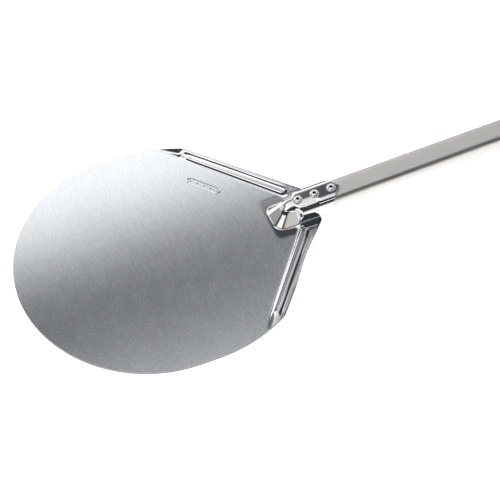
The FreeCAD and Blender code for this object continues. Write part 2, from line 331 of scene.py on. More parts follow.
def sides(p):
    """For each shoulder: its plan, which of the points are on its side, and those points in (x, |y|)."""
    for side in SHOULDERS:
        pick = p[:, 1] * side > 0
        yield shoulder_plan(side), pick, np.stack([p[pick, 0], np.abs(p[pick, 1])], 1)


def edge_place(plan, q):
    """Distance of points along a shoulder's cut edge and inward from it, and the edge's length."""
    run_line = plan["neck"] - plan["corner"]
    length = np.linalg.norm(run_line)
    along = run_line / length
    return (q - plan["corner"]) @ along, (plan["corner"] - q) @ np.array([-along[1], along[0]]), length


def crest_side(plan, q):
    """Distance of points outward from the middle line of a rib's flat top."""
    return (q - plan["crest"][1]) @ plan["outward"]


def rib_wall(p):
    """Place across the nearer rib's wall, 0 at its flat top and 1 at its foot, and the distances to both."""
    w, foot, top = np.ones(len(p)), np.full(len(p), 99.0), np.full(len(p), 99.0)
    for plan, pick, q in sides(p):
        f = capsule_distance(q, *plan["foot"], *RIB_BASE_RS)
        t = capsule_distance(q, *plan["crest"], *RIB_TOP_RS)
        w[pick] = np.where(t <= 0, 0.0, np.where(f >= 0, 1.0, t / np.maximum(t - f, 1e-9)))
        foot[pick], top[pick] = f, t
    return w, foot, top


def flange_lift(p, w):
    """Rise of the flange outside a rib, from the cut edge up to the rib's foot, with fine pressed lines."""
    lift = np.zeros(len(p))
    for plan, pick, q in sides(p):
        run, from_edge, length = edge_place(plan, q)
        ends = smooth01((run - 1) / 12) * smooth01((length - 20 - run) / 14)
        rise = FLANGE_SLOPE * np.clip(from_edge, 0, FLANGE_REACH)
        rise += RIPPLE * np.sin(from_edge * 2 * math.pi / RIPPLE_STEP) * smooth01((from_edge - 0.8) / 0.8)
        lift[pick] = rise * smooth01(crest_side(plan, q) / SIDE_FADE) * w[pick] * ends
    return lift


def shoulder_edge_shade(p):
    """1 on the line of painted shade along a shoulder's cut edge, 0 elsewhere."""
    line = np.zeros(len(p))
    for plan, pick, q in sides(p):
        run, from_edge, length = edge_place(plan, q)
        line[pick] = smooth01((EDGE + 0.9 - from_edge) / 0.5) * (run > 0) * (run < length)
    return line


def groove(p, foot):
    """Shallow dip that the press leaves along a rib's foot on the blade's side."""
    across = np.zeros(len(p))
    for plan, pick, q in sides(p):
        across[pick] = crest_side(plan, q)
    dip = GROOVE * np.exp(-((foot - 0.8) / 0.75) ** 2)
    return -dip * smooth01(-across / SIDE_FADE) * smooth01((p[:, 0] - 100) / 20)


CORNER_SLOPE, CORNER_WALL = 0.25, 0.85  # of the facet up from the cut edge, and of the wall on its inner side
CORNER_INNER = -4.5  # place of that wall's foot, outward from the middle line of the rib


def corner_lift(p):
    """Pressed facet in the far corner, from a line that carries on the rib's inner foot down to the edge."""
    plan = shoulder_plan(1)
    end, runout = plan["foot"]
    axis = unit(end - runout)
    from_edge = SIDE_R - np.hypot(p[:, 0] - SIDE_FLAT, p[:, 1] - (BLADE_R - SIDE_R))
    facet = CORNER_SLOPE * np.maximum(from_edge - EDGE, 0)
    wall = CORNER_WALL * np.maximum(crest_side(plan, p) - CORNER_INNER, 0)
    near = (p[:, 0] > 50) & (p[:, 1] > 0)
    lift = np.where(near, np.maximum(soft_min(facet, wall, 0.4), 0), 0)
    return lift * smooth01(((runout - p) @ axis + 3.0) / 5.0)


# ---- plain pressed mark

MARK_POS = np.array([104.0, 82.0])
MARK_TURN = math.radians(-48.0)
MARK_L, MARK_W, MARK_H = 46.0, 9.0, 0.8
MARK_PIPS = 5


def mark_local(p):
    rel = p - MARK_POS
    c, s = math.cos(MARK_TURN), math.sin(MARK_TURN)
    return np.stack([rel[:, 0] * c + rel[:, 1] * s, -rel[:, 0] * s + rel[:, 1] * c], 1)


def mark_height(p):
    """Raised frame and pips of the plain mark."""
    q = mark_local(p)
    r = MARK_W / 2
    half = MARK_L / 2 - r
    ring = np.abs(np.hypot(np.maximum(np.abs(q[:, 0]) - half, 0), q[:, 1]) - (r - 0.65))
    z = MARK_H * smooth01(1 - (ring - 0.15) / 0.8)
    for i in range(MARK_PIPS):
        cx = -half + i * 2 * half / (MARK_PIPS - 1)
        d = np.hypot(q[:, 0] - cx, q[:, 1])
        z = np.maximum(z, MARK_H * smooth01(1 - (d - 0.8) / 1.0))
    return z


# ---- nose and sleeve

def body_roof(x):
    """Height of the sleeve's outer roof line."""
    return axis_z(x) + SLEEVE_R / math.cos(RISE)


CREST_Z = body_roof(NOSE_CREST)
FRONT_XS = np.linspace(155.0, 184.0, 500)
FRONT_RISE = (FRONT_XS - NOSE_FRONT) * (CREST_Z - SHEET_T) / (NOSE_CREST - NOSE_FRONT)
FRONT_ZS = SHEET_T + soft_max(soft_min(FRONT_RISE, CREST_Z - SHEET_T, 7.0), 0.0, 1.3)
FRONT_ZS = SHEET_T + (FRONT_ZS - FRONT_ZS[0]) * (CREST_Z - SHEET_T) / (FRONT_ZS[-1] - FRONT_ZS[0])


def side_line(x):
    """Half-width at the underside, outward slope and roof corner radius of the section at station x."""
    k = float(smooth01((SLEEVE_X + 2.0 - x) / 9.0))
    base = SLEEVE_HALF + (NOSE_BASE_HALF - SLEEVE_HALF) * k
    return base, NOSE_LEAN * k, SLEEVE_R + (NOSE_CORNER_R - SLEEVE_R) * k


WALL_COLS = (7, 16, 8)  # points along roof, corner and side
FOOT_COLS = (7, 4)  # points along the root fillet and the flat beyond it
FINE = 60  # points along each stretch of a dense section


def body_curve(x, z_low=None):
    """Half section of the nose or sleeve at station x, from roof to sheet, and the top of its root fillet."""
    base, slope, corner_r = side_line(x)
    roof = body_roof(x)
    root_r = ROOT_R + (1.0 - ROOT_R) * smooth01((x - 200.0) / (NECK_X - 200.0))
    turn = math.pi / 2 - math.atan(slope)
    reach = math.tan(turn / 2)
    vertex_y = base - slope * roof
    corner_r = min(corner_r, 0.9 * vertex_y / reach)
    direction = np.array([slope, -1.0]) / math.hypot(1, slope)
    flat_end = vertex_y - corner_r * reach
    centre = np.array([flat_end, roof - corner_r])
    angles = np.linspace(0, turn, FINE)
    arc = centre + corner_r * np.stack([np.sin(angles), np.cos(angles)], 1)
    root = np.array([base - slope * SHEET_T, SHEET_T])
    side_end = root - direction * root_r * reach
    if z_low is not None:
        side_end = np.array([SLEEVE_HALF, z_low])
    t = np.linspace(0, 1, FINE)[1:, None]
    wall = np.concatenate([arc, arc[-1] + (side_end - arc[-1]) * t])
    root_centre = np.array([root[0] + root_r * reach, SHEET_T + root_r])
    angles = np.linspace(turn, 0, FINE // 2)[1:]
    fillet = root_centre + root_r * np.stack([-np.sin(angles), -np.cos(angles)], 1)
    return np.concatenate([wall, fillet]), side_end[1]


def crest_level(z, x):
    """Heights z of the section at station x, carried over to the section at the nose's crest."""
    return SHEET_T + (z - SHEET_T) * (CREST_Z - SHEET_T) / (body_roof(x) - SHEET_T)


def section(x):
    """Half section with the rounded front cut in: dense (y, z) points, and the index of its fillet's top."""
    curve, fillet_z = body_curve(x)
    half, level = curve[:, 0], crest_level(curve[:, 1], x)
    top = float(np.interp(x, FRONT_XS, FRONT_ZS))
    keep = level < top - 1e-6
    half = np.concatenate([[np.interp(-top, -level, half)], half[keep]])
    level = np.concatenate([[top], level[keep]])
    front_x = np.interp(level, FRONT_ZS, FRONT_XS)
    share = (level - SHEET_T) / (CREST_Z - SHEET_T)
    r = np.minimum(NOSE_PLAN_R + (5.5 - NOSE_PLAN_R) * share + 0.7 * (1 - share) ** 6, half * 0.95)
    u = np.clip(x - front_x, 0, r)
    y = half - r + np.sqrt(np.maximum(r**2 - (r - u) ** 2, 0))
    z = SHEET_T + (level - SHEET_T) * (body_roof(x) - SHEET_T) / (CREST_Z - SHEET_T)
    split = int(np.searchsorted(-z, -fillet_z))
    return np.stack([y, z], 1), min(max(split, 1), len(z) - 1)


def resample(points, n):
    """n points evenly along a polyline, ends included."""
    step = np.hypot(*np.diff(points, axis=0).T)
    run = np.concatenate([[0], np.cumsum(step)])
    if run[-1] < 1e-9:
        return np.repeat(points[:1], n, 0)
    at = np.linspace(0, run[-1], n)
    return np.stack([np.interp(at, run, points[:, k]) for k in (0, 1)], 1)


def section_columns(x):
    """The half section's mesh columns: roof, wall, root fillet, flat."""
    dense, split = section(x)
    roof = resample(np.array([[0, dense[0, 1]], dense[0]]), WALL_COLS[0])
    wall = resample(dense[: split + 1], WALL_COLS[1] + WALL_COLS[2] + 1)[1:]
    fillet = resample(dense[split:], FOOT_COLS[0] + 1)[1:]
    flat = resample(np.array([dense[-1], [PATCH_HALF, SHEET_T]]), FOOT_COLS[1] + 1)[1:]
    return np.concatenate([roof, wall]), np.concatenate([fillet, flat]), dense


def nose_surface():
    """Vertices and faces of the nose and sleeve's outer surface, with its front and side borders flat."""
    x_rear = NECK_X - EDGE
    wall_n, foot_n = sum(WALL_COLS), sum(FOOT_COLS)
    half_n = wall_n + foot_n
    stations = np.concatenate([
        np.linspace(PATCH_FRONT, 156, 4, endpoint=False), np.linspace(156, 182, 80, endpoint=False),
        np.linspace(182, 200, 24, endpoint=False), np.linspace(200, x_rear, 14)])
    rows = []
    for x in stations:
        wall, foot, dense = section_columns(x)
        curve = np.concatenate([wall, foot])
        share = smooth01((curve[0, 1] - SHEET_T - 0.5) / 9.0)
        if share < 1:
            line = np.concatenate([[[0, dense[0, 1]]], dense, [[PATCH_HALF, SHEET_T]]])
            y = np.linspace(0, PATCH_HALF, half_n) * (1 - share) + curve[:, 0] * share
            curve = np.stack([y, np.interp(y, line[:, 0], line[:, 1])], 1)
        rows.append(np.concatenate([np.full((half_n, 1), x), curve], 1))
    front = np.array(rows)
    low0 = float(front[-1, wall_n - 1, 2])
    lean = (SLEEVE_END_HIGH - SLEEVE_END_LOW) / (axis_z(SLEEVE_END_HIGH) + TUBE_H / 2)
    rear_rows = []
    for u in np.linspace(0, 1, 18)[1:]:
        row = []
        z_low = low0 * (1 - smooth01(u / 0.12))
        for j in range(wall_n):
            x = x_rear + u * (SLEEVE_END_LOW + 10 - x_rear)
            for _ in range(3):
                y, z = rear_wall(x, z_low)[j]
                x = x_rear + u * (SLEEVE_END_LOW + z * lean - x_rear)
            row.append([x, y, z])
        rear_rows.append(row)
    rear = np.array(rear_rows)

    def both_sides(block):
        flipped = block[:, :0:-1] * np.array([1, -1, 1])
        return np.concatenate([flipped, block], 1)

    front, rear = both_sides(front), both_sides(rear)
    rows_f, cols_f = front.shape[:2]
    rows_r, cols_r = rear.shape[:2]
    faces = grid_faces(rows_f, cols_f)
    rear_start = rows_f * cols_f + np.arange(rows_r) * cols_r
    starts = [(rows_f - 1) * cols_f + foot_n, *rear_start.tolist()]
    for r0, r1 in zip(starts, starts[1:]):
        faces += [(r0 + j, r1 + j, r1 + j + 1, r0 + j + 1) for j in range(cols_r - 1)]
    verts = np.concatenate([front.reshape(-1, 3), rear.reshape(-1, 3)])
    border = np.concatenate([front[::-1, 0], front[0, 1:-1], front[:, -1]])
    return verts, faces, border


def rear_wall(x, z_low):
    """Mesh columns of the sleeve's half section behind the neck, where it has no flange."""
    wall = body_curve(x, z_low)[0][: 2 * FINE - 1]
    roof = resample(np.array([[0, wall[0, 1]], wall[0]]), WALL_COLS[0])
    return np.concatenate([roof, resample(wall, WALL_COLS[1] + WALL_COLS[2] + 1)[1:]])


# ---- blade

CORNER_CUT = 2.2  # length lost to the rounding of a shoulder's corner, on each side
HOLLOW_LENGTH = 76.0  # of a shoulder's hollow, from the neck
MARK_STEP, CORNER_STEP, SHEET_STEP = 0.42, 1.1, 4.0  # spacing of mesh points on mark, far corner and sheet
RIM_STEP = 0.45  # from the outline to the next line of mesh points
GROOVE_RUN = (92.0, 186.0)  # where the dip along a rib starts and ends


def side_y(x):
    return BLADE_R - SIDE_R + np.sqrt(SIDE_R**2 - (x - SIDE_FLAT) ** 2)


def edge_normal(line):
    """Unit normals to the left of a plan polyline."""
    return left_of(np.gradient(line, axis=0))


def blade_outline(side):
    """Half outline in (x, |y|) from the neck round to the front, a hair inside the cut edge."""
    plan = shoulder_plan(side)
    corner, neck = plan["corner"], plan["neck"]
    run_dir = unit(neck - corner)
    x = np.linspace(corner[0] - CORNER_CUT, SIDE_FLAT, 130)
    arc = np.stack([x, side_y(x)], 1)
    start = corner + run_dir * CORNER_CUT
    blend_t = np.linspace(0, 1, 7)[1:-1, None]
    blend = (1 - blend_t) ** 2 * start + 2 * blend_t * (1 - blend_t) * corner + blend_t**2 * arc[0]
    shoulder = neck + (start - neck) * np.linspace(0, 1, 130)[:, None]
    bell = np.sin(np.clip((NECK_X - shoulder[:, 0]) / HOLLOW_LENGTH, 0, 1) * math.pi) ** 2
    shoulder = shoulder - plan["hollow"] * bell[:, None] * np.array([-run_dir[1], run_dir[0]])
    flat = np.array([[11.0, BLADE_R]])
    front = arc_points(0, BLADE_R, np.linspace(math.pi / 2, math.pi, 150))
    half = np.concatenate([shoulder, blend, arc, flat, front])
    inset = half + edge_normal(half) * EDGE
    inset[0] = [NECK_X - EDGE, neck[1] - EDGE]
    inset[-1, 1] = 0.0
    return inset


def inside(points, polygon):
    """True for points within a closed polygon."""
    x, y = points[:, 0], points[:, 1]
    hit = np.zeros(len(points), bool)
    x0, y0 = polygon[:, 0], polygon[:, 1]
    x1, y1 = np.roll(x0, -1), np.roll(y0, -1)
    for a, b, c, d in zip(x0, y0, x1, y1):
        if b == d:
            continue
        crosses = (b > y) != (d > y)
        hit ^= crosses & (x < (c - a) * (y - b) / (d - b) + a)
    return hit


def rib_loop(side, w):
    """Outline at place w across a rib's wall, in (x, |y|)."""
    plan = shoulder_plan(side)
    top = capsule_loop(*plan["crest"], *RIB_TOP_RS)
    foot = capsule_loop(*plan["foot"], *RIB_BASE_RS)
    return top + (foot - top) * w


def groove_strip(side, w):
    """The part of such an outline that runs along the dip on the blade's side of the rib."""
    loop = rib_loop(side, w)
    inner = crest_side(shoulder_plan(side), loop) < -SIDE_FADE
    begin = int(np.flatnonzero(inner & ~np.roll(inner, 1))[0])
    strip = np.roll(loop, -begin, 0)[: int(inner.sum())]
    return strip[(strip[:, 0] > GROOVE_RUN[0]) & (strip[:, 0] < GROOVE_RUN[1])]


def loose_points(ring, fixed):
    """Mesh points of the sheet between its fixed lines: close together on the mark and in the far corner."""
    u, v = plan_grid(np.arange(-25, 25.01, MARK_STEP), np.arange(-6.3, 6.31, MARK_STEP)).T
    c, s = math.cos(MARK_TURN), math.sin(MARK_TURN)
    mark = MARK_POS + np.stack([u * c - v * s, u * s + v * c], 1)
    corner = plan_grid(np.arange(64, 106, CORNER_STEP), np.arange(122, 157, CORNER_STEP))
    corner = corner[rib_wall(corner)[1] > 3.0]
    plain = plan_grid(np.arange(-160, 216, SHEET_STEP), np.arange(-162, 163, SHEET_STEP))
    off_mark = np.abs(mark_local(plain))
    plain = plain[(rib_wall(plain)[1] > 3.2) & ~((off_mark[:, 0] < 27) & (off_mark[:, 1] < 8.3))]
    loose = np.concatenate([mark, corner, plain])
    loose = loose[inside(loose, ring)]
    return loose[nearest(loose, fixed) > 0.8]


def join_lines(lines):
    """Points of several plan lines, given as (points, closed), and the edges along them."""
    edges, start = [], 0
    for line, closed in lines:
        n = len(line)
        edges += [(start + i, start + (i + 1) % n) for i in range(n if closed else n - 1)]
        start += n
    return np.concatenate([line for line, _ in lines]), edges


def both_halves(far, near):
    """Line round the blade from its far half and its near half, which is still to be mirrored."""
    return np.concatenate([far, near[-2::-1] * np.array([1, -1])])


def sheet_surface(border):
    """Upper face of the sheet round the nose's patch, whose border is given."""
    halves = [blade_outline(side) for side in SHOULDERS]
    ring = np.concatenate([both_halves(*halves), border[:, :2]])
    inner = both_halves(*((half + edge_normal(half) * RIM_STEP)[1:] for half in halves))
    lines = [(ring, True), (inner, False)]
    for make_line, places, closed in ((rib_loop, RIB_LATTICE, True), (groove_strip, GROOVE_LATTICE, False)):
        lines += [(make_line(side, w) * np.array([1, side]), closed) for w in places for side in SHOULDERS]
    points, edges = join_lines(lines)
    loose = loose_points(ring, np.concatenate([ring, inner]))
    p, faces = triangulate(np.concatenate([points, loose]), edges, 1e-5)
    middles = np.array([p[list(f)].mean(axis=0) for f in faces])
    keep = ~((middles[:, 0] > 60) & (middles[:, 0] < 140) & (np.abs(middles[:, 1]) > 105))
    keep[~keep] = inside(middles[~keep], ring)
    w, foot, _ = rib_wall(p)
    rib = RIB_H * (1 - wall_blend(w))
    z = SHEET_T + np.maximum(rib, corner_lift(p)) + flange_lift(p, w) + groove(p, foot) + mark_height(p)
    return np.concatenate([p, z[:, None]], 1), [f for f, k in zip(faces, keep) if k]


def underside(verts, faces):
    """Points a sheet's thickness below: straight down under the flat sheet, square to it in the nose."""
    in_patch = (verts[:, 0] > PATCH_FRONT) & (np.abs(verts[:, 1]) < PATCH_HALF + 0.01)
    follow = np.where(in_patch, smooth01((verts[:, 0] - 158) / 16), 0.0)[:, None]
    down = vertex_normals(verts, faces) * follow + np.array([0, 0, 1.0]) * (1 - follow)
    bottom = verts - unit_rows(down) * SHEET_T
    bottom[:, 2] = np.maximum(np.where(in_patch, bottom[:, 2], verts[:, 2] - SHEET_T), 0.0)
    return bottom


def make_blade():
    nose_v, nose_f, border = nose_surface()
    sheet_v, sheet_f = sheet_surface(border)
    nose_f = [tuple(i + len(sheet_v) for i in f) for f in nose_f]
    top, faces = drop_unused(*weld(np.concatenate([sheet_v, nose_v]), sheet_f + nose_f))
    verts, all_faces = shell(top, underside(top, faces), faces, EDGE)
    obj = new_object("blade_skin", verts, all_faces, angle=50)
    bright = press_mask(top)
    rim = np.zeros(len(verts) - 2 * len(top))
    add_attribute(obj, "pressed", np.concatenate([bright, bright * 0.4, rim]))
    # painted shade: the rim and a thin line along each shoulder's cut edge are marked for a near-black colour
    # in place of the shade at the sheet's edge
    add_attribute(obj, "edge_shade", np.concatenate([shoulder_edge_shade(top), np.zeros(len(top)), rim + 1]))
    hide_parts("blade")
    return obj


def press_mask(v):
    """1 where pressing has stretched and brightened the sheet, 0 where it keeps its brushed face."""
    _, foot, top = rib_wall(v)
    wall = smooth01((top + 0.5) / 0.9) * smooth01((2.0 - foot) / 0.9)
    x, y = v[:, 0], np.abs(v[:, 1])
    runout = shoulder_plan(-1)["foot"][1]
    from_runout = np.hypot(x - runout[0], y - runout[1])
    wall = np.where(v[:, 1] < 0, wall * smooth01((from_runout - 14.0) / 10.0), wall)
    away = np.hypot(np.maximum(NOSE_FRONT + 9 - x, 0), np.maximum(y - 12.0, 0))
    rise = smooth01((23.0 - away) / 5.0) * smooth01((x - NOSE_FRONT + 6) / 5.0)
    mark = smooth01(mark_height(v[:, :2]) / MARK_H * 2)
    corner = smooth01(corner_lift(v[:, :2]) / 0.4)
    return np.max([wall, corner, rise, mark], 0)


# ---- strap

def rounded(points, radii, spacing):
    """Closed polygon with each corner rounded, sampled finely."""
    n = len(points)
    pts = [np.array(p, float) for p in points]
    arcs = []
    for i, r in enumerate(radii):
        a, b, c = pts[i - 1], pts[i], pts[(i + 1) % n]
        u, v = unit(a - b), unit(c - b)
        half = math.acos(np.clip(u @ v, -1, 1)) / 2
        reach = r / math.tan(half)
        centre = b + (u + v) / np.linalg.norm(u + v) * r / math.sin(half)
        start, end = b + u * reach - centre, b + v * reach - centre
        a0, a1 = math.atan2(start[1], start[0]), math.atan2(end[1], end[0])
        turn = (a1 - a0 + math.pi) % (2 * math.pi) - math.pi
        ang = a0 + turn * np.linspace(0, 1, max(4, int(abs(turn) * r / spacing) + 2))
        arcs.append(arc_points(centre, r, ang))
    dense = []
    for arc, following in zip(arcs, arcs[1:] + arcs[:1]):
        a, b = arc[-1], following[0]
        k = max(1, int(np.linalg.norm(b - a) / spacing))
        dense += [arc, a + (b - a) * np.linspace(0, 1, k + 1)[1:-1, None]]
    return np.concatenate(dense)


def sleeve_top(p):
    """Outer sleeve surface and its upward normal under plan points."""
    dx, dy, h = 0.5, 0.1, 0.4
    xs, ys = np.arange(172.0, 254.0, dx), np.linspace(0, 16.0, 161)
    table = []
    for x in xs:
        dense, _ = section(x)
        line = np.concatenate([[[0, dense[0, 1]]], dense])
        table.append(np.interp(ys, line[:, 0], line[:, 1]))
    table = np.array(table)

    def height(x, y):
        fx, fy = (x - xs[0]) / dx, np.abs(y) / dy
        i, j = np.clip(fx.astype(int), 0, len(xs) - 2), np.clip(fy.astype(int), 0, len(ys) - 2)
        a, b = fx - i, fy - j
        return (table[i, j] * (1 - a) * (1 - b) + table[i + 1, j] * a * (1 - b)
                + table[i, j + 1] * (1 - a) * b + table[i + 1, j + 1] * a * b)

    x, y = p[:, 0], p[:, 1]
    gx = (height(x + h, y) - height(x - h, y)) / (2 * h)
    gy = (height(x, y + h) - height(x, y - h)) / (2 * h)
    return height(x, y), unit_rows(np.stack([-gx, -gy, np.ones(len(p))], 1))


def strap_wear(x, y):
    """Metal lost from the strap's top where it is pressed down along its front and near side."""
    wear = 0.035 * np.maximum(-y - 1.0, 0) ** 1.6 * smooth01((222.0 - x) / 6.0)
    wear += 0.02 * np.maximum(190.0 - x, 0) ** 1.5
    wear += 0.022 * np.maximum(5.0 - y, 0) ** 1.6 * smooth01((198.0 - x) / 7.0)
    return np.minimum(wear, 1.1)


def make_strap():
    corners = [(STRAP_FRONT, STRAP_FRONT_HALF), (STRAP_FRONT, -STRAP_FRONT_HALF), (STRAP_FLARE, -STRAP_HALF),
               (STRAP_SHOULDER, -STRAP_HALF), (STRAP_POINT, 0), (STRAP_SHOULDER, STRAP_HALF),
               (STRAP_FLARE, STRAP_HALF)]
    outline = rounded(corners, [6.6, 6.6, 9.0, 1.2, 1.2, 1.2, 9.0], 0.8)
    area = np.sum(outline[:, 0] * np.roll(outline[:, 1], -1) - np.roll(outline[:, 0], -1) * outline[:, 1])
    if area < 0:
        outline = outline[::-1]
    inward = left_of(np.roll(outline, -1, 0) - np.roll(outline, 1, 0))
    depths = (0.0, 0.06, 0.18, 0.38, 0.62, 0.9, 1.05)
    rings = [outline + inward * d for d in depths]
    grid = plan_grid(np.arange(175, 253, 1.4), np.arange(-14, 14.1, 1.4))
    grid = grid[inside(grid, rings[-1])]
    grid = grid[nearest(grid, rings[-1]) > 0.6]
    _, edges = join_lines([(outline, True)])
    p, faces = triangulate(np.concatenate(rings + [grid]), edges, 1e-6)
    depth = np.full(len(p), 9.0)
    for ring, d in zip(rings, depths):
        depth = np.where(nearest(p, ring) < 1e-3, d, depth)
    t = np.clip(STRAP_EDGE - depth, 0, STRAP_EDGE)
    drop = STRAP_EDGE - np.sqrt(np.maximum(STRAP_EDGE**2 - t**2, 0))
    z, normal = sleeve_top(p)
    base = np.concatenate([p, z[:, None]], 1)
    thick = np.maximum(STRAP_T - drop - strap_wear(*p.T), 0.25)
    verts, faces = shell(base + normal * thick[:, None], base + normal * 0.03, faces, 0.02)
    obj = new_object("strap_skin", verts, faces, angle=60)
    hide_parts("neck_strap")
    return obj


# ---- swept and turned pieces

def along_tube(points, x=AXIS_X):
    """Tube coordinates (x along the axis, z out of its top) to the row frame."""
    p = np.asarray(points, float)
    c, s = math.cos(RISE), math.sin(RISE)
    out = np.empty_like(p)
    out[..., 0] = x + p[..., 0] * c - p[..., 2] * s
    out[..., 1] = p[..., 1]
    out[..., 2] = axis_z(x) + p[..., 0] * s + p[..., 2] * c
    return out


def oval_ring(width, height, arc=18, flat=(0.0, 0.06, 0.35, 0.65, 0.94)):
    """Flat-oval loop of (y, z) points."""
    r = height / 2
    half = width / 2 - r
    pts = []
    for side in (1, -1):
        a = np.linspace(math.pi / 2, -math.pi / 2, arc + 1)
        y, z = half + r * np.cos(a), r * np.sin(a)
        pts += [(side * yy, side * zz) for yy, zz in zip(y, z)]
        pts += [(side * (half - 2 * half * f), -side * r) for f in flat[1:]]
    return np.array(pts)


def skin(stations):
    """Vertices and faces of the rings at a list of (x, ring) stations along the tube."""
    n = len(stations[0][1])
    verts = np.concatenate([np.concatenate([np.full((n, 1), x), ring], 1) for x, ring in stations])
    return along_tube(verts), grid_faces(len(stations), n, close_cols=True)


def make_tube():
    """Flat-oval tube with a tapered front end: a closed skin, out along its outside and back inside it."""
    outer = oval_ring(TUBE_W, TUBE_H)
    inner = oval_ring(TUBE_W - 2 * TUBE_WALL, TUBE_H - 2 * TUBE_WALL)
    front, end, chamfer = TUBE_FRONT, TUBE_FRONT + TUBE_LEN, 0.4

    def taper(ring, half):
        """Cuts a ring's sides back to a half-width."""
        return np.stack([np.clip(ring[:, 0], -half, half), ring[:, 1]], 1)

    stations = [(front, taper(outer, 9.3)), (front + 0.3, taper(outer, 9.6))]
    stations += [(front + d, taper(outer, 9.6 + d * 0.57)) for d in (3, 6, 9, 12)]
    stations += [(front + 15, outer)]
    stations += [(x, outer) for x in np.linspace(front + 20, end - chamfer, 40)]
    stations += [(end, oval_ring(TUBE_W - 2 * chamfer, TUBE_H - 2 * chamfer))]
    stations += [(end, oval_ring(TUBE_W - 2 * TUBE_WALL + 2 * chamfer, TUBE_H - 2 * TUBE_WALL + 2 * chamfer))]
    stations += [(end - chamfer, inner), (front + 15, inner)]
    stations += [(front + 0.3, taper(inner, 8.1)), (front, taper(inner, 8.3))]
    verts, faces = skin(stations)
    n, last = len(outer), len(verts) - len(outer)
    faces += [(last + j, j, (j + 1) % n, last + (j + 1) % n) for j in range(n)]
    a, b, c = verts[list(faces[0][:3])]
    middle = along_tube(np.array([[front, 0, 0]]))[0]
    if np.cross(b - a, c - a) @ (a - middle) < 0:
        faces = [f[::-1] for f in faces]
    obj = new_object("tube_skin", verts, faces, angle=40)
    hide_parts("handle_tube")
    return obj


def lathe(profile, segments=56):
    """Turned solid from a closed radius-height profile, in tube coordinates."""
    a = np.linspace(0, 2 * math.pi, segments, endpoint=False)
    prof = np.array(profile)
    verts = np.stack([
        prof[:, None, 0] * np.cos(a)[None], prof[:, None, 0] * np.sin(a)[None],
        np.repeat(prof[:, None, 1], segments, 1)], -1).reshape(-1, 3)
    return verts, grid_faces(len(prof), segments, close_cols=True)


def round_profile(points, radii, steps=5):
    """Closed profile with rounded corners."""
    out = []
    n = len(points)
    for i in range(n):
        a, b, c = (np.array(points[k % n], float) for k in (i - 1, i, i + 1))
        r = radii[i]
        if r == 0:
            out.append(b)
            continue
        u, v = unit(a - b), unit(c - b)
        for t in np.linspace(0, 1, steps):
            out.append((1 - t) ** 2 * (b + u * r) + 2 * t * (1 - t) * b + t * t * (b + v * r))
    return np.array(out)


def turned(name, profile, radii, x, node):
    """Turned piece at place x along the tube."""
    prof = round_profile(profile, radii)
    prof = np.concatenate([prof, prof[:1]])
    verts, faces = weld(*lathe(prof))
    area = sum(a[0] * b[1] - b[0] * a[1] for a, b in zip(prof, prof[1:]))
    if area > 0:
        faces = [f[::-1] for f in faces]
    obj = new_object(name, along_tube(verts, x), faces, angle=45)
    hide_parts(node)
    return obj


def paint_bore_shade(obj, x):
    """Marks the inside of a rivet's bore for painted shade, near black in place of the shade deep in the
    bore.
    """
    co = np.empty(len(obj.data.vertices) * 3)
    obj.data.vertices.foreach_get("co", co)
    rel = co.reshape(-1, 3) / MM - along_tube(np.zeros((1, 3)), x)
    up = rel @ np.array([-math.sin(RISE), 0, math.cos(RISE)])
    radius = np.sqrt(np.maximum((rel**2).sum(1) - up**2, 0))
    add_attribute(obj, "bore", (radius < RIVET_BORE_R + 0.15).astype(float))


def make_rivets():
    """Blind rivets, each with the broken-off mandrel left in it."""
    seat = TUBE_H / 2 + SHEET_T + 0.02 + STRAP_T
    inside_z = TUBE_H / 2 - TUBE_WALL
    low = inside_z - 5
    shank = 3.0
    head = [(RIVET_BORE_R, 1.6), (2.3, 2.5), (4.0, 2.0), (4.6, 1.5), (4.6, 0.6), (5.2, 0.9), (6.0, 0.9),
            (6.0, 0.02)]
    body = [(r, seat + z) for r, z in head]
    body += [(shank, seat), (shank, inside_z), (4.4, inside_z), (4.4, inside_z - 2.5), (shank, low),
             (RIVET_BORE_R, low)]
    body_radii = [0.25, 0.3, 0.35, 0.35, 0.1, 0.2, 0.35, 0.2, 0, 0, 0.5, 0.8, 0.4, 0]
    stub = [(0, 6.2), (1.2, 6.2), (1.75, 5.7), (1.75, 0), (2.8, 0), (2.5, -1.3), (1.2, -2.0), (0, -2.0)]
    stub = [(r, low + z) for r, z in stub]
    stub_radii = [0, 0.3, 0.2, 0, 0.2, 0.2, 0.4, 0]
    objs = []
    for place, x in RIVET_XS.items():
        rivet = turned(place + "_rivet_skin", body, body_radii, x, place + "_rivet_body")
        # painted shade: the bore's inside is marked to be coloured near black
        paint_bore_shade(rivet, x)
        objs += [rivet, turned(place + "_mandrel_skin", stub, stub_radii, x, place + "_rivet_mandrel")]
    return objs


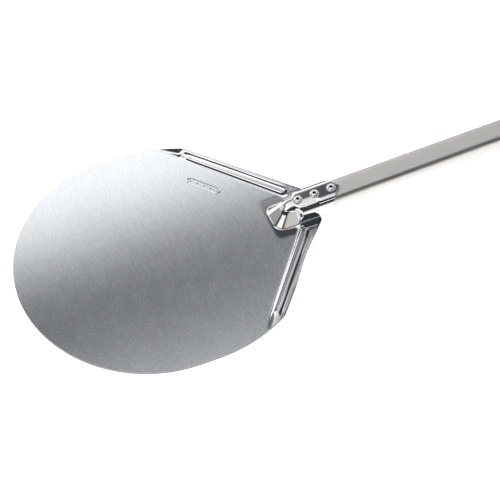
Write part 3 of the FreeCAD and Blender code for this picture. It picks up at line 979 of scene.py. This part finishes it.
def make_cap():
    """Moulded end cap: rolled lip, grip grooves, flattened tail with a flared hanging hole."""
    end = TUBE_FRONT + TUBE_LEN
    width, height = TUBE_W + 2 * CAP_WALL, TUBE_H + 2 * CAP_WALL
    start, tail = end - CAP_LIP, end + CAP_TAIL
    r_tail = width / 2

    def ring(shrink):
        return oval_ring(width - 2 * shrink, height - 2 * shrink)

    socket = oval_ring(TUBE_W + 0.2, TUBE_H + 0.2)
    stations = [(end, socket * 0.02), (end, socket * 0.5), (end, socket * 0.97), (end - 0.5, socket)]
    stations += [(start + 0.6, socket), (start, oval_ring(TUBE_W + 1.0, TUBE_H + 1.0))]
    stations += [(start + x, ring(shrink)) for x, shrink in ((0, 1.0), (0.3, 0.35), (1.0, 0.0), (2.5, 0.0))]
    x = start + 2.5
    for _ in range(GRIP_COUNT):
        stations += [(x + dx, ring(depth)) for dx, depth in GRIP_GROOVE]
        x += GRIP_PITCH
    stations.append((end + 4.0, ring(0.0)))
    for a in np.linspace(0, 90, 22):
        x = tail - r_tail + r_tail * math.sin(math.radians(a))
        if x >= end + 4.5:
            squeeze = max(math.cos(math.radians(a)), 0.02)
            thin = 2.6 * smooth01((x - end - 6) / 22) + 3.0 * smooth01((a - 62) / 28) * (1 - squeeze)
            stations.append((x, oval_ring(width, height - 2 * thin) * np.array([squeeze, 1])))
    verts, faces = skin(stations)
    obj = new_object("cap_skin", verts, faces + end_faces(len(socket), len(verts)), angle=42)
    flare = [(9.2, 12.0), (8.0, 9.2), (7.1, 8.0), (6.6, 6.4), (6.5, 4.0)]
    flare += [(r, -z) for r, z in reversed(flare)]
    verts, faces = lathe(flare, 64)
    verts = along_tube(verts + np.array([tail - HOLE_FROM_TIP, 0, 0]))
    mesh = bpy.data.meshes.new("hole")
    mesh.from_pydata((verts * MM).tolist(), [], faces + end_faces(64, len(verts)))
    cutter = bpy.data.objects.new("hole", mesh)
    bpy.context.scene.collection.objects.link(cutter)
    for o in (obj, cutter):
        fix_normals(o.data)
    cut_out(obj, cutter)
    smooth(obj.data, 42)
    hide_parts("end_cap")
    return obj


def end_faces(n, total):
    """Faces over the first and the last ring of n vertices."""
    return [tuple(range(n)), tuple(reversed(range(total - n, total)))]


def fix_normals(mesh):
    """Turns a closed mesh's faces outward."""
    bm = bmesh.new()
    bm.from_mesh(mesh)
    bmesh.ops.recalc_face_normals(bm, faces=bm.faces)
    bm.to_mesh(mesh)
    bm.free()


def cut_out(obj, cutter):
    """Cuts one closed mesh out of another and keeps the result as plain mesh data."""
    mod = obj.modifiers.new("cut", "BOOLEAN")
    mod.operation = "DIFFERENCE"
    mod.solver = "EXACT"
    mod.object = cutter
    bpy.context.view_layer.update()
    graph = bpy.context.evaluated_depsgraph_get()
    cut = bpy.data.meshes.new_from_object(obj.evaluated_get(graph), depsgraph=graph)
    obj.modifiers.clear()
    obj.data = cut
    bpy.data.objects.remove(cutter)


# ---- materials

class Nodes:
    """Short hand for building a material's node tree."""

    def __init__(self, tree):
        self.tree = tree

    def add(self, kind, **inputs):
        return self.fill(self.tree.nodes.new(kind), **inputs)

    def fill(self, node, **inputs):
        """Sets inputs of a node, or its own settings where it has no such input."""
        for key, value in inputs.items():
            name = key.replace("_", " ")
            if name in node.inputs:
                self.feed(node.inputs[name], value)
            else:
                setattr(node, key, value)
        return node

    def feed(self, socket, value):
        if isinstance(value, bpy.types.NodeSocket):
            self.tree.links.new(value, socket)
        else:
            socket.default_value = value

    def math(self, op, *values):
        node = self.add("ShaderNodeMath", operation=op)
        for socket, value in zip(node.inputs, values):
            self.feed(socket, value)
        return node.outputs[0]

    def mix(self, factor, a, b):
        return self.math("ADD", self.math("MULTIPLY", self.math("SUBTRACT", 1.0, factor), a),
                         self.math("MULTIPLY", factor, b))

    def vary(self, base, noise, amount):
        """A base value moved up and down by a noise that runs from 0 to 1."""
        return self.math("ADD", base, self.math("MULTIPLY", self.math("SUBTRACT", noise, 0.5), amount))

    def blend(self, mask, a, b):
        """Colour that goes from a to b as the mask goes from 0 to 1."""
        node = self.add("ShaderNodeMix", data_type="RGBA")
        for place, value in ((0, mask), (6, a), (7, b)):
            self.feed(node.inputs[place], value)
        return node.outputs[2]

    def attribute(self, name):
        return self.add("ShaderNodeAttribute", attribute_name=name).outputs["Fac"]

    def split(self, vector):
        node = self.add("ShaderNodeSeparateXYZ")
        self.feed(node.inputs[0], vector)
        return node.outputs

    def noise(self, vector, scale, detail=3.0, rough=0.55):
        node = self.add("ShaderNodeTexNoise", Vector=vector, Scale=scale, Detail=detail, Roughness=rough)
        return node.outputs["Fac"]

    def stretch(self, vector, scale):
        return self.add("ShaderNodeMapping", Vector=vector, Scale=scale).outputs["Vector"]

    def ramp(self, factor, stops):
        """Colour from a factor, by (place, colour or grey) stops."""
        node = self.add("ShaderNodeValToRGB", Fac=factor)
        ramp = node.color_ramp
        while len(ramp.elements) < len(stops):
            ramp.elements.new(0.5)
        for element, (pos, colour) in zip(ramp.elements, stops):
            element.position = pos
            element.color = (*colour, 1) if isinstance(colour, tuple) else (colour, colour, colour, 1)
        return node.outputs["Color"]

    def bump(self, height, strength, distance):
        node = self.add("ShaderNodeBump", Height=height, Strength=strength, Distance=distance)
        return node.outputs["Normal"]


def material(name):
    mat = bpy.data.materials.new(name)
    mat.use_nodes = True
    tree = mat.node_tree
    coords = tree.nodes.new("ShaderNodeTexCoord").outputs["Object"]
    return mat, Nodes(tree), tree.nodes["Principled BSDF"], coords


def lengthwise(nodes):
    """Direction of brushing and drawing, along the handle."""
    return nodes.add("ShaderNodeCombineXYZ", X=1.0).outputs[0]


def blade_material():
    """Brushed sheet, polished where it was pressed, with painted shade darkening its cut edge."""
    mat, n, bsdf, co = material("brushed_blade")
    lines = n.noise(n.stretch(co, (1900, 30, 900)), 1.0, 2.0, 0.6)
    broad = n.noise(n.stretch(co, (620, 110, 300)), 1.0, 3.0, 0.7)
    cloud = n.noise(co, 9.0, 3.0, 0.5)
    smudge = n.noise(co, 38.0, 4.0, 0.6)
    pressed = n.attribute("pressed")
    rough = n.vary(n.vary(0.27, lines, 0.07), smudge, 0.05)
    tint = n.vary(n.mix(0.75, lines, broad), cloud, 0.25)
    colour = n.ramp(tint, [(0.3, (0.735, 0.755, 0.78)), (0.7, (0.895, 0.915, 0.935))])
    colour = n.blend(pressed, colour, (0.90, 0.905, 0.915, 1))
    # painted shade: near-black colour on the cut edge, standing in for the shade along the sheet's edge
    colour = n.blend(n.attribute("edge_shade"), colour, (0.22, 0.225, 0.235, 1))
    brushed = n.math("SUBTRACT", 1.0, n.math("MULTIPLY", pressed, 0.9))
    grain = n.math("MULTIPLY", brushed, n.mix(0.8, lines, broad))
    rough = n.mix(pressed, rough, n.vary(0.095, smudge, 0.06))
    n.fill(bsdf, Roughness=rough, Base_Color=colour, Metallic=1.0,
           Anisotropic=n.math("MULTIPLY", n.math("SUBTRACT", 1.0, pressed), 0.82), Tangent=lengthwise(n),
           Normal=n.bump(grain, 0.8, 0.00015))
    return mat


def bright_material(name, base, rough_low, rough_high, dark=None):
    """Bright metal with smudges and fine scratches, painted near black as shade where the attribute named by
    dark says so.
    """
    mat, n, bsdf, co = material(name)
    smudge = n.noise(co, 55.0, 4.0, 0.6)
    scratch = n.noise(n.stretch(co, (120, 900, 900)), 1.0, 2.0, 0.6)
    colour = n.ramp(scratch, [(0.3, tuple(0.9 * c for c in base)), (0.7, base)])
    if dark:
        # painted shade: near-black colour where the attribute is set, standing in for the shade deep in the
        # rivets' bores
        colour = n.blend(n.attribute(dark), colour, (0.06, 0.06, 0.065, 1))
    rough = n.math("ADD", rough_low, n.math("MULTIPLY", smudge, rough_high - rough_low))
    n.fill(bsdf, Roughness=rough, Base_Color=colour, Metallic=1.0, Normal=n.bump(scratch, 0.15, 0.00003))
    return mat


def tube_material():
    mat, n, bsdf, co = material("satin_anodised_tube")
    drawn = n.noise(n.stretch(co, (9, 700, 700)), 1.0, 3.0, 0.6)
    grain = n.noise(co, 900.0, 2.0, 0.5)
    patch = n.noise(co, 14.0, 3.0, 0.5)
    colour = n.ramp(n.mix(0.35, drawn, patch), [(0.3, (0.74, 0.722, 0.69)), (0.7, (0.81, 0.792, 0.76))])
    n.fill(bsdf, Roughness=n.vary(n.vary(0.46, drawn, 0.08), patch, 0.06), Base_Color=colour, Metallic=1.0,
           Anisotropic=0.3, Tangent=lengthwise(n), Normal=n.bump(n.mix(0.4, drawn, grain), 0.1, 0.00002))
    return mat


def steel_material():
    mat, n, bsdf, co = material("dull_steel")
    noise = n.noise(co, 600.0, 3.0, 0.6)
    colour = n.ramp(noise, [(0.3, (0.10, 0.10, 0.105)), (0.7, (0.20, 0.20, 0.205))])
    rough = n.math("ADD", 0.4, n.math("MULTIPLY", noise, 0.2))
    n.fill(bsdf, Base_Color=colour, Metallic=1.0, Roughness=rough, Normal=n.bump(noise, 0.3, 0.00005))
    return mat


def plastic_material():
    mat, n, bsdf, co = material("moulded_plastic")
    grain = n.noise(co, 1400.0, 2.0, 0.5)
    wear = n.noise(co, 45.0, 4.0, 0.6)
    n.fill(bsdf, Base_Color=n.ramp(wear, [(0.35, (0.022, 0.022, 0.025)), (0.75, (0.045, 0.045, 0.05))]),
           Roughness=n.math("ADD", 0.42, n.math("MULTIPLY", wear, 0.2)), Normal=n.bump(grain, 0.4, 0.0001))
    return mat


# ---- stage

FLOOR_HALF, FLOOR_GAP = 6.0, 0.0004
DARK_SKY, LOW_GLOW = (0.032, 0.037, 0.046, 1), (0.62, 0.59, 0.55, 1)


def make_floor():
    """Pale floor that gives off part of its light, so that the peel casts almost no shadow."""
    h = FLOOR_HALF
    mesh = bpy.data.meshes.new("floor")
    mesh.from_pydata([(-h, -h, 0), (h, -h, 0), (h, h, 0), (-h, h, 0)], [], [(0, 1, 2, 3)])
    floor = bpy.data.objects.new("floor", mesh)
    floor.location.z = -FLOOR_GAP
    bpy.context.scene.collection.objects.link(floor)
    mat, n, bsdf, co = material("pale_floor")
    colour = n.ramp(n.noise(co, 1.4, 2.0, 0.5), [(0.3, 0.90), (0.7, 0.93)])
    n.fill(bsdf, Base_Color=colour, Roughness=0.9, Specular_IOR_Level=0.0, Emission_Color=(1, 1, 1, 1),
           Emission_Strength=0.55)
    floor.data.materials.append(mat)


def make_world():
    """Dark studio with a warm glow low down, strongest on the near side and on the left."""
    world = bpy.data.worlds.new("studio")
    bpy.context.scene.world = world
    world.use_nodes = True
    n = Nodes(world.node_tree)
    sky = n.split(n.add("ShaderNodeTexCoord").outputs["Generated"])
    toward = n.math("ADD", n.math("MULTIPLY", sky["Y"], -0.5), 0.5)
    left = n.math("MULTIPLY", sky["X"], -1.0)
    low = n.ramp(sky["Z"], [(0.0, 1.0), (0.2, 1.0), (0.34, 0.0)])
    near = n.ramp(toward, [(0.25, 0.0), (0.5, 0.55), (0.75, 1.0)])
    side = n.ramp(left, [(0.2, 0.0), (0.8, 0.55)])
    glow = n.math("MULTIPLY", low, n.math("MAXIMUM", near, side))
    n.fill(world.node_tree.nodes["Background"], Color=n.blend(glow, DARK_SKY, LOW_GLOW), Strength=1.0)


def panel(name, at, look, width, height, radiance, glossy=True, diffuse=True, fade=None):
    """Studio light panel, given in metres, that can fade across its width and height."""
    light = bpy.data.lights.new(name, "AREA")
    light.shape = "RECTANGLE"
    light.size, light.size_y = width, height
    light.energy = radiance * math.pi * width * height
    obj = bpy.data.objects.new(name, light)
    obj.location = at
    obj.rotation_mode = "QUATERNION"
    obj.rotation_quaternion = (Vector(look) - Vector(at)).to_track_quat("-Z", "Y")
    obj.visible_camera = False
    obj.visible_glossy = glossy
    obj.visible_diffuse = diffuse
    bpy.context.scene.collection.objects.link(obj)
    if fade:
        light.use_nodes = True
        n = Nodes(light.node_tree)
        place = n.split(n.add("ShaderNodeNewGeometry").outputs["Parametric"])
        shade = 1.0
        for axis, stops in zip("XY", fade):
            ramp = n.ramp(place[axis], stops)
            ramp.node.color_ramp.interpolation = "EASE"
            shade = n.math("MULTIPLY", shade, ramp)
        n.fill(light.node_tree.nodes["Emission"], Strength=shade)


def make_lights():
    panel("back_panel", (0.18, 0.40, 0.385), (0.18, 0.0, 0.385), 1.2, 0.43, 1.2, diffuse=False,
          fade=([(0.0, 0.0), (0.15, 1.0), (0.85, 1.0), (1.0, 0.5)], [(0.0, 1.0), (0.35, 1.0), (1.0, 0.0)]))
    panel("back_low", (-0.16, 0.40, 0.09), (-0.16, 0.0, 0.09), 0.4, 0.16, 1.1, diffuse=False)
    panel("back_soft", (0.67, 0.42, 0.62), (0.67, 0.0, 0.62), 0.54, 0.44, 2.0, diffuse=False,
          fade=([(0.0, 0.0), (0.14, 1.0), (0.35, 0.5), (0.6, 0.08), (1.0, 0.0)],
                [(0.0, 0.0), (0.3, 1.0), (0.7, 1.0), (1.0, 0.0)]))
    panel("overhead", (0.12, 0.40, 1.5), (0.12, 0.40, 0.0), 2.5, 1.2, 1.13,
          fade=([(0.0, 1.0), (0.35, 1.0), (1.0, 0.45)], [(0.0, 1.0), (0.62, 1.0), (1.0, 0.0)]))
    panel("left_panel", (-1.45, -1.05, 0.62), (0.1, 0.0, 0.0), 2.0, 0.8, 1.05, diffuse=False)
    panel("floor_fill", (0.1, -0.2, 3.0), (0.1, 0.0, 0.0), 3.6, 3.6, 1.5, glossy=False)


SENSOR_MM, FOCAL_PER_FRAME = 36.0, 4.466
CAMERA_AZIMUTH, CAMERA_ELEVATION, CAMERA_ROLL = map(math.radians, (-113.08, 53.05, 0.3))
CAMERA_DISTANCE, CAMERA_TARGET = 2.721, (0.1192, -0.0317, 0.0)


def make_camera():
    data = bpy.data.cameras.new("camera")
    cam = bpy.data.objects.new("camera", data)
    bpy.context.scene.collection.objects.link(cam)
    data.sensor_width, data.lens = SENSOR_MM, FOCAL_PER_FRAME * SENSOR_MM
    data.clip_start, data.clip_end = 0.05, 40.0
    flat = math.cos(CAMERA_ELEVATION)
    x, y = flat * math.cos(CAMERA_AZIMUTH), flat * math.sin(CAMERA_AZIMUTH)
    back = Vector((x, y, math.sin(CAMERA_ELEVATION)))
    cam.location = Vector(CAMERA_TARGET) + back * CAMERA_DISTANCE
    roll = Matrix.Rotation(CAMERA_ROLL, 4, back)
    cam.rotation_mode = "QUATERNION"
    cam.rotation_quaternion = roll.to_quaternion() @ (-back).to_track_quat("-Z", "Y")
    bpy.context.scene.camera = cam


blade = make_blade()
strap = make_strap()
tube = make_tube()
rivets = make_rivets()
cap = make_cap()

blade.data.materials.append(blade_material())
strap.data.materials.append(bright_material("bright_strap", (0.90, 0.905, 0.91), 0.08, 0.18))
tube.data.materials.append(tube_material())
rivet_mat = bright_material("bright_rivet", (0.98, 0.98, 0.98), 0.2, 0.32, dark="bore")
mandrel_mat = steel_material()
for obj in rivets:
    obj.data.materials.append(mandrel_mat if "mandrel" in obj.name else rivet_mat)
cap.data.materials.clear()
cap.data.materials.append(plastic_material())

make_floor()
make_world()
make_lights()
make_camera()
bpy.context.scene.view_settings.view_transform = "Standard"
